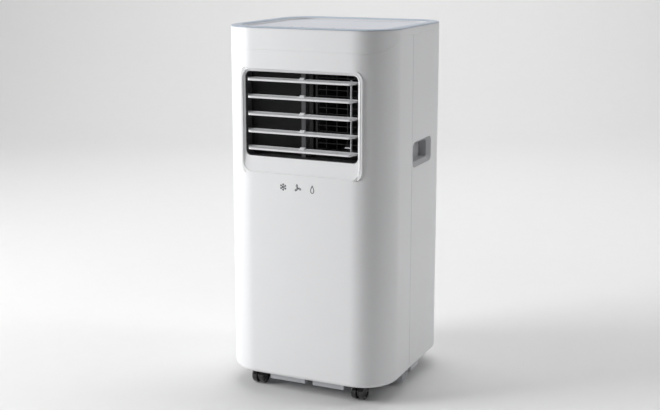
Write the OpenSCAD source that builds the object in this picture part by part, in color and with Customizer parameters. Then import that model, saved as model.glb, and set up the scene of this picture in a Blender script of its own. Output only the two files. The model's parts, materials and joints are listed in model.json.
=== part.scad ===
// Portable air conditioner on four swivel casters.
// The front is towards -Y, +Z is up and the floor is z = 0.

/* [Cabinet] */
// Width of the cabinet across its side walls
body_w = 324; // [300:0.1:390]
// Depth of the cabinet, from the middle of the bowed front to the back wall
body_d = 315; // [295:0.5:380]
// Height from the floor to the top of the rim
body_h = 671; // [640:0.1:810]
// Height of the cabinet's lower edge above the floor
edge_z = 32; // [30:1:36]
// Thickness of the moulded shells
wall = 2.6; // [2:0.1:3.2]
// Radius of the two front corners
front_r = 68.5; // [50:0.5:80]
// Radius of the two rear corners
rear_r = 59; // [40:0.5:70]
// Radius of the gentle bow across the front
bow_r = 5250; // [2500:10:9000]
// Distance of the side seam behind the front
seam_back = 129; // [110:0.5:140]
// Width of the gap at each seam between shells
seam_gap = 0.6; // [0.3:0.1:1]

/* [Top] */
// Height of the top cover's skirt at the front
skirt_front = 41; // [30:1:50]
// Height of the top cover's skirt at the sides and back
skirt_side = 16; // [12:1:24]
// Height of the blue-grey rim
rim_h = 2.8; // [2:0.1:4]
// Width of the rim
rim_w = 20; // [14:0.5:26]
// Depth of the control panel below the top of the rim
panel_drop = 5.3; // [4:0.1:8]

/* [Air outlet] */
// Half of the outlet's clear width
outlet_half_w = 108.5; // [90:0.1:112]
// Bottom of the outlet's clear opening
outlet_z0 = 441; // [425:1:450]
// Top of the outlet's clear opening
outlet_z1 = 592; // [580:1:600]
// Corner radius of the outlet's clear opening
outlet_r = 9; // [6:0.5:12]
// Width of the chamfer around the sides and top of the outlet
bezel = 5; // [3:0.5:7]
// Height of the sloped apron below the outlet
apron = 29; // [20:1:34]
// Depth of the bezel below the bow of the front
bezel_d = 5.2; // [4.5:0.1:8]
// Depth of the outlet frame behind the bezel
frame_d = 23; // [18:0.5:28]

/* [Louvres] */
// Number of louvre blades
louvers = 5; // [5:1:5]
// Distance between blades
louver_pitch = 30.75; // [28:0.25:31]
// Height of the lowest blade's pivot
louver_z0 = 456; // [454:0.5:460]
// Length of a blade in front of its pivot
blade_front = 21; // [16:0.5:22]
// Length of a blade behind its pivot
blade_rear = 3; // [2:0.5:3.5]
// Thickness of a blade at its front edge
blade_t = 3.6; // [2.8:0.1:4]
// Distance that the blades stand out of the front at rest
louver_reach = 6; // [4:0.5:8]
// Radius of a blade's pivot pin
pivot_r = 2; // [1.5:0.1:2.4]
// Radius of the crank that joins a blade to the link
crank = 7; // [6:0.5:8]
// Radius of a crank's pin
crank_pin_r = 1.2; // [1:0.1:1.4]
// Running clearance of pins in their bores
run_fit = 0.06; // [0.02:0.01:0.1]

/* [Side handles] */
// Distance of the handle's front end behind the side seam
handle_back = 3.6; // [3:0.1:8]
// Length of the handle
handle_l = 97; // [80:1:104]
// Height of the handle
handle_h = 46; // [40:1:52]
// Bottom of the handle above the floor
handle_z = 415; // [405:1:430]
// Depth of the finger pocket
handle_d = 20; // [16:1:22]

/* [Casters] */
// Radius of a caster wheel
wheel_r = 16; // [14:0.1:19.5]
// Width of one wheel of the pair
wheel_w = 10; // [8:0.5:10]
// Gap between the two wheels of a caster
wheel_gap = 5; // [5:0.5:6]
// Distance between the left and right wheels
track = 202; // [190:1:206]
// Distance of the front wheels behind the front
front_axle = 38; // [36:1:60]
// Distance of the rear wheels in front of the back
rear_axle = 46; // [42:1:70]
// Horizontal distance from the swivel to the axle
trail = 6; // [4:0.5:7]
// Radius of a caster's stem
stem_r = 4; // [3:0.1:5]

/* [Back] */
// Distance that the exhaust collar stands out of the back
collar_reach = 12; // [10:0.5:16]
// Radius of the exhaust collar's bore
collar_r = 64; // [53:0.1:66]
// Height of the exhaust collar's centre
collar_z = 300; // [290:1:310]
// Half of the width of the two intake grilles
intake_half_w = 96; // [80:1:98]
// Bottom of the upper intake
upper_z0 = 400; // [395:1:410]
// Top of the upper intake
upper_z1 = 612; // [590:1:620]
// Height of the lower intake's bottom above the base deck
lower_lift = 29; // [25:1:39]
// Top of the lower intake
lower_z1 = 212; // [190:1:214]
// Outer radius of the drain spigots
spigot_r = 8; // [7:0.5:9]
// Radius of the drain spigots' bore
drain_r = 5.5; // [4.5:0.1:6]
// Radius of the hole for the mains lead
lead_r = 4; // [3:0.1:5]

/* [Inside] */
// Distance from the top of the caster wheels to the base deck
deck_clear = 6; // [5:0.5:8]
// Thickness of the base deck and of the partition
deck_t = 3; // [2.5:0.5:4]
// Height of the partition between the hot and cold halves
partition_z = 372; // [368:1:376]
// Radius of the compressor's shell
compressor_r = 55; // [45:1:58]
// Height of the compressor's shell
compressor_h = 178; // [150:1:182]
// Radius of the cold side blower wheel
cold_wheel_r = 80; // [70:1:84]
// Radius of the hot side blower wheel
hot_wheel_r = 66; // [58:1:68]
// Number of blades on a blower wheel
blower_blades = 28; // [20:1:32]
// Thickness of the plastic air ducts
duct_t = 2; // [1.5:0.1:2.5]

/* [Hidden] */
$fn = 64;

// The origin is at the middle of everything, louvres and collar included.
overall_d = body_d + louver_reach + collar_reach;
y_front = -overall_d / 2 + louver_reach;
y_back = overall_d / 2 - collar_reach;
half_w = body_w / 2;
seam_y = y_front + seam_back;

// Centres of the corner arcs, with the front ones tangent to the bow.
fx = half_w - front_r;
fy = y_front + bow_r - sqrt(pow(bow_r - front_r, 2) - fx * fx);
bow_tilt = asin(fx / (bow_r - front_r));
rx = half_w - rear_r;
ry = y_back - rear_r;

// Levels of the top.
rim_z = body_h - rim_h;
panel_z = body_h - panel_drop;
tray_wall = 1.8;
tray_floor_z = panel_z - 5.7;
cover_plate = 5;
seam_front_z = body_h - skirt_front;
seam_side_z = body_h - skirt_side;

// Planes of the outlet.
bezel_y = y_front + bezel_d;
frame_y1 = bezel_y + frame_d;
frame_wall = 3.5;
duct_y1 = frame_y1 + 32;
pivot_y = y_front - louver_reach + blade_front;
rest_tilt = 3;
link_x = outlet_half_w - 19.5;
arm_x = outlet_half_w - 16.5;
link_t = 2;
free_fit = 0.3;

deck_z = 2 * wheel_r + deck_clear;

// Casters, numbered front left, front right, rear left, rear right.
caster_at = [
    [-track / 2, y_front + front_axle],
    [track / 2, y_front + front_axle],
    [-track / 2, y_back - rear_axle],
    [track / 2, y_back - rear_axle]];
web_t = wheel_gap - 1;
socket_h = 10;
axle_r = 2;

// Places of the pieces inside.
deck_top = deck_z + deck_t;
lower_z0 = deck_top + lower_lift;
partition_top = partition_z + deck_t;
sump_y0 = y_back - 97.5;
sump_y1 = y_back - 19.5;
sump_half_w = 72;
sump_z = 20;
coil_gap = 17;
riser_x = half_w - 24;
scroll_gap = 16;
cold_x = cold_wheel_r + scroll_gap + 31 - half_w;
cold_z = partition_top + 115;
cold_y0 = 22;
cold_w = 70;
hot_x = half_w - 22 - scroll_gap - hot_wheel_r;
hot_z = deck_top + 106;
hot_y0 = 8;
hot_w = 62;
compressor_at = [88 - half_w, -62];
accumulator_at = [44 - half_w, 2];
foot_h = 8;
drain_at = [[-92, partition_top + 3], [92, deck_top + 12]];
lead_at = [-88, deck_top + 12];
slinger_at = [-30, deck_top + 13];
spigot_end = y_back + collar_reach - 2.5;

function ease(t) = let (u = min(1, max(0, t))) u * u * (3 - 2 * u);
function arc(c, r, a0, a1, n) =
    [for (i = [0:n]) let (a = a0 + (a1 - a0) * i / n) c + r * [cos(a), sin(a)]];
function seam_z(y) = seam_front_z + (seam_side_z - seam_front_z) * ease((y - y_front - 5) / 75);
function louver_z(i) = louver_z0 + louver_pitch * (i - 1);

// ---- Shared shapes ----

// The cabinet's outline from above, drawn in by inset all round.
module outline(inset = 0) {
    tangent_x = fx * (bow_r - inset) / (bow_r - front_r);
    bow_steps = 8;
    bow = [for (k = [1:bow_steps - 1]) let (x = tangent_x * (2 * k / bow_steps - 1))
        [x, y_front + bow_r - sqrt(pow(bow_r - inset, 2) - x * x)]];
    polygon(concat(
        bow,
        arc([fx, fy], front_r - inset, bow_tilt - 90, 0, 14),
        arc([rx, ry], rear_r - inset, 0, 90, 12),
        arc([-rx, ry], rear_r - inset, 90, 180, 12),
        arc([-fx, fy], front_r - inset, 180, 270 - bow_tilt, 14)));
}

module slab(z0, z1, inset = 0) {
    translate([0, 0, z0]) linear_extrude(z1 - z0) outline(inset);
}

// Everything above the S-shaped seam under the top cover.
module above_seam(lift) {
    steps = 16;
    y_a = y_front + 5;
    curve = [for (i = [0:steps]) let (y = y_a + 75 * i / steps) [y, seam_z(y) + lift]];
    low_end = [[-overall_d, seam_front_z + lift]];
    high_end = [
        [overall_d, seam_side_z + lift],
        [overall_d, body_h + 50],
        [-overall_d, body_h + 50]];
    rotate([90, 0, 90]) translate([0, 0, -body_w])
        linear_extrude(2 * body_w) polygon(concat(low_end, curve, high_end));
}

module rounded_rect(x0, x1, z0, z1, r) {
    for (x = [x0 + r, x1 - r], z = [z0 + r, z1 - r])
        translate([x, z]) circle(r);
    translate([x0 + r, z0]) square([x1 - x0 - 2 * r, z1 - z0]);
    translate([x0, z0 + r]) square([x1 - x0, z1 - z0 - 2 * r]);
}

// A shape drawn in X and Z, standing from y0 to y1.
module upright(y0, y1) {
    translate([0, y1, 0]) rotate([90, 0, 0]) linear_extrude(y1 - y0) children();
}

module box(a, b) {
    translate(a) cube(b - a);
}

module rod_x(x0, x1, y, z, r) {
    translate([x0, y, z]) rotate([0, 90, 0]) cylinder(h = x1 - x0, r = r);
}

module rod_y(y0, y1, x, z, r) {
    translate([x, y1, z]) rotate([90, 0, 0]) cylinder(h = y1 - y0, r = r);
}

// A tube along straight runs that meet at right angles in round bends.
module tube(points, r) {
    bend = 2.5 * r;
    last = len(points) - 1;
    for (i = [0:last - 1]) {
        run = points[i + 1] - points[i];
        d = run / norm(run);
        a = points[i] + d * (i > 0 ? bend : 0);
        b = points[i + 1] - d * (i < last - 1 ? bend : 0);
        translate(a) rotate([0, acos(d[2]), atan2(d[1], d[0])]) cylinder(h = norm(b - a), r = r);
    }
    for (i = [1:last - 1]) {
        d1 = (points[i] - points[i - 1]) / norm(points[i] - points[i - 1]);
        d2 = (points[i + 1] - points[i]) / norm(points[i + 1] - points[i]);
        n = cross(-d2, d1);
        c = points[i] + (d2 - d1) * bend;
        multmatrix([
            [-d2[0], d1[0], n[0], c[0]],
            [-d2[1], d1[1], n[1], c[1]],
            [-d2[2], d1[2], n[2], c[2]],
            [0, 0, 0, 1]]) rotate_extrude(angle = 90) translate([bend, 0]) circle(r);
    }
}

// ---- Shells ----

module outlet_opening(grow) {
    rounded_rect(-outlet_half_w - grow, outlet_half_w + grow,
        outlet_z0 - grow, outlet_z1 + grow, outlet_r + grow);
}

// The dished surround of the outlet: a chamfer round the top and sides, a long apron below.
module outlet_dish() {
    hull() {
        upright(bezel_y - 0.02, bezel_y) outlet_opening(0);
        upright(y_front - 1, y_front - 0.98)
            rounded_rect(-outlet_half_w - bezel, outlet_half_w + bezel,
                outlet_z0 - apron, outlet_z1 + bezel + 1, outlet_r + bezel);
    }
}

// The recess of the front panel that the outlet's surround fills.
module surround_outline(grow) {
    edge = bezel + 5;
    rounded_rect(-outlet_half_w - edge - grow, outlet_half_w + edge + grow,
        outlet_z0 - apron - 5 - grow, outlet_z1 + edge + grow, outlet_r + bezel + 4 + grow);
}

module front_panel() {
    color("white") difference() {
        slab(edge_z, rim_z - 1);
        slab(edge_z - 1, rim_z, wall);
        above_seam(0);
        box([-body_w, seam_y - seam_gap, 0], [body_w, body_d, body_h]);
        upright(y_front - 1, frame_y1) surround_outline(0.05);
    }
}

module outlet_surround() {
    color("white") difference() {
        intersection() {
            slab(edge_z, rim_z);
            upright(y_front - 1, bezel_y) surround_outline(0);
        }
        outlet_dish();
        upright(y_front - 1, bezel_y + 1) outlet_opening(0);
    }
}

module handle_hole(side, grow) {
    z0 = handle_z - grow;
    y0 = seam_y + handle_back - grow;
    scale_x = side * (half_w - handle_d - 10);
    translate([scale_x, 0, 0]) rotate([90, 0, 90]) translate([0, 0, side > 0 ? 0 : -handle_d - 11])
        linear_extrude(handle_d + 11)
            rounded_rect(y0, y0 + handle_l + 2 * grow, z0, z0 + handle_h + 2 * grow, 10 + grow);
}

module intake_hole(z0, z1, grow) {
    upright(y_back - 8, y_back + 1)
        rounded_rect(-intake_half_w - grow, intake_half_w + grow, z0 - grow, z1 + grow, 6 + grow);
}

module rear_housing() {
    color("white") difference() {
        slab(edge_z, rim_z - 1);
        slab(edge_z - 1, rim_z, wall);
        above_seam(0);
        box([-body_w, -body_d, 0], [body_w, seam_y, body_h]);
        for (side = [-1, 1]) handle_hole(side, 0.2);
        intake_hole(upper_z0, upper_z1, 0.4);
        intake_hole(lower_z0, lower_z1, 0.2);
        rod_y(y_back - 8, y_back + 1, 0, collar_z, collar_r + 3.2);
        for (p = drain_at) rod_y(y_back - 8, y_back + 1, p[0], p[1], spigot_r + 0.1);
        rod_y(y_back - 8, y_back + 1, lead_at[0], lead_at[1], lead_r + 4.1);
        screw_holes(2.05);
    }
}

module top_cover() {
    color("white") intersection() {
        difference() {
            slab(seam_front_z - 1, rim_z);
            slab(seam_front_z - 2, rim_z - cover_plate, wall);
            slab(rim_z - cover_plate - 1, rim_z + 1, rim_w);
        }
        above_seam(seam_gap);
    }
}

// The rim rises in small steps, so that its outer edge reads as a chamfer.
module top_rim() {
    steps = 4;
    color([0.74, 0.78, 0.85]) difference() {
        for (k = [0:steps - 1])
            slab(rim_z, rim_z + rim_h * (k + 1) / steps, 6 * k / steps);
        slab(rim_z - 1, body_h + 1, rim_w);
    }
}

module control_tray() {
    color("white") difference() {
        slab(tray_floor_z, rim_z, rim_w);
        slab(tray_floor_z + 2, rim_z + 1, rim_w + tray_wall);
    }
}

module display_space(grow) {
    box([-22 - grow, y_front + 76 - grow, panel_z - 1.5 - grow],
        [14 + grow, y_front + 92 + grow, panel_z + grow]);
}

module control_panel() {
    color([0.9, 0.91, 0.93]) difference() {
        slab(tray_floor_z + 2, panel_z, rim_w + tray_wall + 0.1);
        display_space(0.05);
    }
}

module display_window() {
    color([0.75, 0.77, 0.8]) display_space(0);
}

module control_board() {
    color([0.1, 0.35, 0.2])
        box([-110, y_front + 62, tray_floor_z - 8], [110, y_front + 112, tray_floor_z - 6.4]);
    color("black") for (x = [-100, 100], y = [y_front + 68, y_front + 106])
        translate([x, y, tray_floor_z - 6.4]) cylinder(h = 6.4, r = 3);
}

// ---- Outlet ----

module outlet_frame() {
    color([0.3, 0.3, 0.31]) difference() {
        upright(bezel_y, frame_y1) outlet_opening(frame_wall);
        upright(bezel_y - 1, frame_y1 + 1) outlet_opening(0);
        for (i = [1:louvers])
            rod_x(-half_w, half_w, pivot_y, louver_z(i), pivot_r + run_fit);
    }
}

module air_duct() {
    color([0.08, 0.08, 0.08]) difference() {
        upright(frame_y1, duct_y1) outlet_opening(frame_wall);
        upright(frame_y1 - 1, duct_y1 + 1) outlet_opening(-1);
    }
}

// A smooth wall that turns the air out of the left half of the duct.
module air_guide() {
    x0 = -outlet_half_w + 1;
    depth = duct_y1 - frame_y1 - 6;
    steps = 12;
    curve = [for (i = [0:steps]) let (t = i / steps) [x0 - t * x0, frame_y1 + 2 + depth * ease(t)]];
    back = [for (i = [steps:-1:0]) curve[i] + [0, 2.5]];
    color([0.11, 0.11, 0.11]) intersection() {
        translate([0, 0, outlet_z0]) linear_extrude(outlet_z1 - outlet_z0)
            polygon(concat(curve, back));
        upright(frame_y1, duct_y1) outlet_opening(-1);
    }
}

module centre_post() {
    color([0.13, 0.13, 0.13])
        box([-5, frame_y1 - 10, outlet_z0], [3.5, frame_y1, outlet_z1]);
    color([0.13, 0.13, 0.13])
        box([-5, frame_y1, outlet_z0 + 1], [3.5, frame_y1 + 6, outlet_z1 - 1]);
}

module guard_grid() {
    x0 = 6;
    x1 = outlet_half_w - 1;
    z0 = outlet_z0 + 1;
    z1 = outlet_z1 - 1;
    bar = 1.4;
    y0 = duct_y1 - 6;
    rows = 13;
    columns = 4;
    color([0.2, 0.2, 0.2]) intersection() {
        union() {
            difference() {
                box([x0, y0, z0], [x1, y0 + 4, z1]);
                box([x0 + 4, y0 - 1, z0 + 3], [x1 - 5, y0 + 5, z1 - 3]);
            }
            for (k = [1:rows]) let (z = z0 + k * (z1 - z0) / (rows + 1))
                box([x0 + 1, y0 + 1, z - bar / 2], [x1 - 1, y0 + 1 + bar, z + bar / 2]);
            for (k = [1:columns]) let (x = x0 + k * (x1 - x0) / (columns + 1))
                box([x - bar / 2, y0 + 1.5, z0 + 1], [x + bar / 2, y0 + 1.5 + bar, z1 - 1]);
        }
        upright(frame_y1, duct_y1) outlet_opening(-1);
    }
}

// ---- Louvres ----

// One blade about its own pivot, which lies along X through the origin.
module blade() {
    end_rear = outlet_half_w - 2.5;
    end_front = outlet_half_w - 8;
    nose_r = 7;
    side = [end_rear - end_front, blade_front - nose_r];
    plan_right = concat(
        [[end_rear, blade_rear], [end_rear, -5]],
        arc([end_front - nose_r, -blade_front + nose_r], nose_r, 0, -90, 8));
    plan_left = [for (i = [len(plan_right) - 1:-1:0]) [-plan_right[i][0], plan_right[i][1]]];
    intersection() {
        translate([0, 0, -10]) linear_extrude(20) polygon(concat(plan_right, plan_left));
        rotate([90, 0, 90]) translate([0, 0, -end_rear - 1]) linear_extrude(2 * end_rear + 2)
            hull() {
                translate([-blade_front + blade_t / 2, 0]) circle(blade_t / 2, $fn = 24);
                translate([blade_rear - 1, 0]) circle(1, $fn = 24);
            }
    }
    rod_x(-end_rear - 5, end_rear + 5, 0, 0, pivot_r);
    rod_x(-5, 5, 0, 0, pivot_r + 0.9);
}

module crank_arm() {
    box([arm_x - 1, 0, -1.6], [arm_x + 1, crank, 1.6]);
    rod_x(link_x - link_t / 2 - 0.6, arm_x, crank, 0, crank_pin_r);
    rod_x(arm_x - 1, arm_x + 1, crank, 0, 1.6);
}

module louver(i) {
    color("white") translate([0, pivot_y, louver_z(i)]) {
        rotate([rest_tilt, 0, 0]) blade();
        crank_arm();
    }
}

// The rod that makes the blades turn together. Only its top hole is a close fit.
module louver_link() {
    y = pivot_y + crank;
    color("white") {
        difference() {
            box([link_x - link_t / 2, y - 2.6, louver_z(1) - 3.4],
                [link_x + link_t / 2, y + 2.6, louver_z(louvers) + 3.4]);
            for (i = [1:louvers]) let (r = crank_pin_r + (i == louvers ? run_fit : free_fit))
                rod_x(link_x - 5, link_x + 5, y, louver_z(i), r);
        }
        rod_x(link_x - 12, link_x, y, louver_z(1) + 8, 1.3);
    }
}

module louver_motor() {
    x0 = outlet_half_w + frame_wall;
    color([0.75, 0.75, 0.77]) {
        rod_x(x0, x0 + 14, frame_y1 + 10, louver_z(3), 11);
        box([x0, frame_y1 + 7, louver_z(3) - 16], [x0 + 2, frame_y1 + 13, louver_z(3) + 16]);
    }
}

// ---- Side handles ----

module handle(side) {
    y0 = seam_y + handle_back;
    y1 = y0 + handle_l;
    z0 = handle_z;
    z1 = handle_z + handle_h;
    color([0.93, 0.93, 0.94]) rotate([90, 0, 90]) scale([1, 1, side]) difference() {
        translate([0, 0, half_w - handle_d - 2]) linear_extrude(handle_d + 2)
            rounded_rect(y0, y1, z0, z1, 10);
        translate([0, 0, half_w - handle_d]) linear_extrude(handle_d + 1)
            rounded_rect(y0 + 4, y1 - 11.5, z0 + 8, z1 - 5, 6);
        hull() {
            translate([0, 0, half_w - 6]) linear_extrude(0.02)
                rounded_rect(y0 + 4, y1 - 11.5, z0 + 8, z1 - 5, 6);
            translate([0, 0, half_w + 0.5]) linear_extrude(0.02)
                rounded_rect(y0 + 1, y1 - 1, z0 + 1, z1 - 1, 9);
        }
    }
}

// ---- Base and casters ----

module base_pan() {
    color([0.62, 0.63, 0.65]) difference() {
        union() {
            slab(deck_z, deck_top, wall + 0.4);
            box([-sump_half_w, sump_y0, sump_z], [sump_half_w, sump_y1, deck_top]);
            for (p = caster_at) translate([p[0], p[1] + trail, deck_z]) cylinder(h = socket_h, r = stem_r + 4);
        }
        box([-sump_half_w + 2.5, sump_y0 + 2.5, sump_z + 2.5],
            [sump_half_w - 2.5, sump_y1 - 2.5, deck_top + 1]);
        for (p = caster_at)
            translate([p[0], p[1] + trail, deck_z - 1]) cylinder(h = socket_h, r = stem_r + run_fit);
    }
}

// The light runners under the deck: two along the front and a rib and a strip at each side.
module base_skids() {
    skid_z = 16;
    rib_z = 6;
    strip_z = 14;
    rib_x = half_w - 18;
    y0 = y_front + 25;
    color([0.86, 0.87, 0.89]) {
        box([-74, y0, skid_z], [-4, y0 + 12, deck_z]);
        box([12, y0, skid_z], [74, y0 + 12, deck_z]);
        for (side = [-1, 1]) {
            for (k = [0:2])
                box([side * rib_x - 6, seam_y - 2 + 10 * k, rib_z],
                    [side * rib_x + 6, seam_y + 2 + 10 * k, deck_z]);
            box([side * rib_x - 6, seam_y - 2, deck_z - 6], [side * rib_x + 6, seam_y + 22, deck_z]);
            x0 = side * rib_x - (side > 0 ? 1 : 5);
            box([x0, seam_y + 44, strip_z], [x0 + 6, seam_y + 84, deck_z]);
        }
    }
}

module caster_fork(i) {
    p = caster_at[i - 1];
    color([0.06, 0.06, 0.07]) translate([p[0], p[1], 0]) difference() {
        union() {
            rod_x(-web_t / 2, web_t / 2, 0, wheel_r, wheel_r - 4);
            box([-web_t / 2, -5, wheel_r], [web_t / 2, 5 + trail, wheel_r * 2 + 3]);
            translate([0, trail, wheel_r * 2 + 1]) cylinder(h = 3, r = 10);
            translate([0, trail, wheel_r * 2 + 1])
                cylinder(h = deck_z + socket_h - 2.5 - wheel_r * 2, r = stem_r);
        }
        rod_x(-wheel_gap, wheel_gap, 0, wheel_r, axle_r + run_fit);
    }
}

module caster_wheels(i) {
    p = caster_at[i - 1];
    color([0.04, 0.04, 0.045]) translate([p[0], p[1], 0]) {
        rod_x(-wheel_gap / 2 - 1, wheel_gap / 2 + 1, 0, wheel_r, axle_r);
        for (s = [-1, 1]) rotate([0, 90, 0]) scale([1, 1, s]) translate([-wheel_r, 0, wheel_gap / 2])
            rotate_extrude() polygon(concat(
                [[0, 0], [wheel_r - 1, 0], [wheel_r, 1]],
                arc([wheel_r - 3, wheel_w - 3], 3, 0, 90, 6),
                [[wheel_r - 6, wheel_w - 2], [0, wheel_w - 2]]));
    }
}

// ---- Back ----

module slats(z0, z1, pitch, y0) {
    count = floor((z1 - z0) / pitch) - 1;
    step = (z1 - z0) / (count + 1);
    for (k = [1:count])
        box([-intake_half_w + 5, y0, z0 + k * step - 1.2], [intake_half_w - 5, y0 + 5, z0 + k * step + 1.2]);
    for (x = [-0.5, 0, 0.5] * intake_half_w)
        box([x - 1.5, y0, z0 + 3], [x + 1.5, y0 + 4, z1 - 3]);
}

module grille(z0, z1, pitch) {
    y0 = y_back - 6;
    difference() {
        upright(y0, y_back) rounded_rect(-intake_half_w, intake_half_w, z0, z1, 6);
        upright(y0 - 1, y_back + 1)
            rounded_rect(-intake_half_w + 6, intake_half_w - 6, z0 + 6, z1 - 6, 3);
    }
    slats(z0, z1, pitch, y0);
}

module upper_grille() {
    color("white") grille(upper_z0, upper_z1, 9);
}

module upper_filter() {
    y1 = y_back - 6;
    color([0.35, 0.37, 0.4]) difference() {
        box([-intake_half_w + 2, y1 - 3, upper_z0 + 2], [intake_half_w - 2, y1, upper_z1 - 2]);
        for (k = [0:3], m = [0:4])
            let (w = (2 * intake_half_w - 16) / 4, h = (upper_z1 - upper_z0 - 16) / 5)
                box([-intake_half_w + 8 + k * w + 1, y1 - 4, upper_z0 + 8 + m * h + 1],
                    [-intake_half_w + 8 + (k + 1) * w - 1, y1 - 2, upper_z0 + 8 + (m + 1) * h - 1]);
    }
}

module lower_grille() {
    color("white") difference() {
        grille(lower_z0, lower_z1, 9);
        for (x = [-1, 1] * (intake_half_w - 3), z = [lower_z0 + 12, lower_z1 - 12])
            rod_y(y_back - 8, y_back + 1, x, z, 1.45);
    }
}

module exhaust_collar() {
    flange_r = collar_r + 12;
    color([0.88, 0.89, 0.9]) difference() {
        union() {
            rod_y(y_back, y_back + 3, 0, collar_z, flange_r);
            rod_y(y_back - 12, y_back + collar_reach, 0, collar_z, collar_r + 3);
        }
        rod_y(y_back - 13, y_back + collar_reach + 1, 0, collar_z, collar_r);
        screw_holes(2.05);
    }
}

module cord_gland() {
    color([0.05, 0.05, 0.05]) difference() {
        union() {
            rod_y(y_back - 9, y_back, lead_at[0], lead_at[1], lead_r + 4);
            rod_y(y_back, y_back + 3, lead_at[0], lead_at[1], lead_r + 6);
        }
        rod_y(y_back - 10, y_back + 4, lead_at[0], lead_at[1], lead_r);
    }
}

module spigot(p) {
    color([0.9, 0.9, 0.91]) difference() {
        union() {
            rod_y(y_back - 14, spigot_end, p[0], p[1], spigot_r);
            rod_y(y_back - wall - 2, y_back - wall, p[0], p[1], spigot_r + 3);
            rod_y(y_back, y_back + 1.5, p[0], p[1], spigot_r + 2);
        }
        rod_y(y_back - 15, spigot_end + 1, p[0], p[1], drain_r);
    }
}

module plug(p) {
    color([0.1, 0.1, 0.11]) {
        rod_y(spigot_end + 0.05, y_back + collar_reach, p[0], p[1], spigot_r - 0.8);
        rod_y(y_back - 4, spigot_end + 0.1, p[0], p[1], drain_r - run_fit);
    }
}

screw_ring = [for (a = [45:90:315]) [cos(a), sin(a)] * (collar_r + 7.6) + [0, collar_z]];

module screw_holes(r) {
    for (p = screw_ring) rod_y(y_back - 8, y_back + 4, p[0], p[1], r);
}

module screws() {
    color([0.7, 0.7, 0.72]) {
        for (p = screw_ring) {
            rod_y(y_back + 3, y_back + 5, p[0], p[1], 3.6);
            rod_y(y_back - 6, y_back + 3.1, p[0], p[1], 2);
        }
        for (x = [-1, 1] * (intake_half_w - 3), z = [lower_z0 + 12, lower_z1 - 12]) {
            rod_y(y_back, y_back + 1.6, x, z, 2.6);
            rod_y(y_back - 9, y_back + 0.1, x, z, 1.4);
        }
    }
}

// ---- Inside ----

module partition() {
    color([0.85, 0.85, 0.86]) difference() {
        intersection() {
            slab(partition_z, partition_top, wall + 0.4);
            box([-riser_x + 5, -body_d, 0], [riser_x - 5, body_d, body_h]);
        }
        rod_y(y_back - 16, y_back, drain_at[0][0], drain_at[0][1], spigot_r + 3.4);
    }
}

// A finned heat exchanger with its header plates and return bends.
module coil(z0, z1, lift, fins) {
    y1 = y_back - coil_gap;
    y0 = y1 - 28;
    x1 = 116;
    color([0.8, 0.82, 0.84]) {
        for (s = [-1, 1]) box([s * x1 - 1.5, y0 - 1, z0], [s * x1 + 1.5, y1 + 1, z1]);
        for (k = [1:fins]) let (x = -x1 + 2 * x1 * k / (fins + 1))
            box([x - 0.8, y0, z0 + lift], [x + 0.8, y1, z1 - 4]);
        box([-x1, y0 + 12, z0 + lift - 1], [x1, y0 + 16, z1 - 2]);
    }
}

module evaporator() {
    coil(partition_top, upper_z1 - 4, 4, 38);
}

module condenser() {
    coil(deck_top, lower_z1 + 8, socket_h + 2, 38);
}

// A forward-curved blower wheel about Y, between y0 and y0 + w.
module blower(x, z, r, y0, w, shaft_to) {
    color([0.25, 0.27, 0.3]) {
        rod_y(y0, y0 + 2.5, x, z, r);
        difference() {
            rod_y(y0 + w - 4, y0 + w, x, z, r);
            rod_y(y0 + w - 5, y0 + w + 1, x, z, r - 10);
        }
        for (k = [0:blower_blades - 1])
            translate([x, 0, z]) rotate([0, k * 360 / blower_blades, 0])
                box([r - 9, y0 + 2, -0.8], [r - 1, y0 + w - 3, 0.8]);
        rod_y(y0, y0 + 22, x, z, 10);
        rod_y(shaft_to, y0 + 1, x, z, 4);
    }
}

// The housing of a blower, with its inlet towards the back.
module scroll_shell(x, z, r, y0, w) {
    difference() {
        rod_y(y0, y0 + w, x, z, r);
        rod_y(y0 + duct_t, y0 + w - duct_t, x, z, r - duct_t);
        rod_y(y0 + w / 2, y0 + w + 1, x, z, r - scroll_gap - 14);
        rod_y(y0 - 1, y0 + w / 2, x, z, 12);
    }
}

module cold_scroll() {
    r = cold_wheel_r + scroll_gap;
    z0 = outlet_z0 + 1;
    z1 = outlet_z1 - 1;
    x0 = 8;
    x1 = outlet_half_w;
    y1 = cold_y0 + cold_w;
    color([0.16, 0.16, 0.17]) difference() {
        union() {
            rod_y(cold_y0, y1, cold_x, cold_z, r);
            box([x0, duct_y1, z0], [x1, y1, z1]);
        }
        rod_y(cold_y0 + duct_t, y1 - duct_t, cold_x, cold_z, r - duct_t);
        box([x0 + duct_t, duct_y1 - 1, z0 + duct_t], [x1 - duct_t, y1 - duct_t, z1 - duct_t]);
        rod_y(cold_y0 + cold_w / 2, y1 + 1, cold_x, cold_z, cold_wheel_r - 14);
        rod_y(cold_y0 - 1, cold_y0 + cold_w / 2, cold_x, cold_z, 12);
    }
}

module cold_wheel() {
    blower(cold_x, cold_z, cold_wheel_r, cold_y0 + 5, cold_w - 11, cold_y0 - 20);
}

// A round motor in front of its blower, with a bore for the shaft.
module fan_motor(x, z, y1, r) {
    color([0.55, 0.56, 0.58]) difference() {
        union() {
            rod_y(y1 - 42, y1 - 6, x, z, r);
            rod_y(y1 - 6, y1, x, z, 14);
            box([x - r - 6, y1 - 12, z - 6], [x + r + 6, y1 - 9, z + 6]);
        }
        rod_y(y1 - 30, y1 + 1, x, z, 4 + run_fit);
    }
}

module cold_motor() {
    fan_motor(cold_x, cold_z, cold_y0, 34);
}

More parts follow.
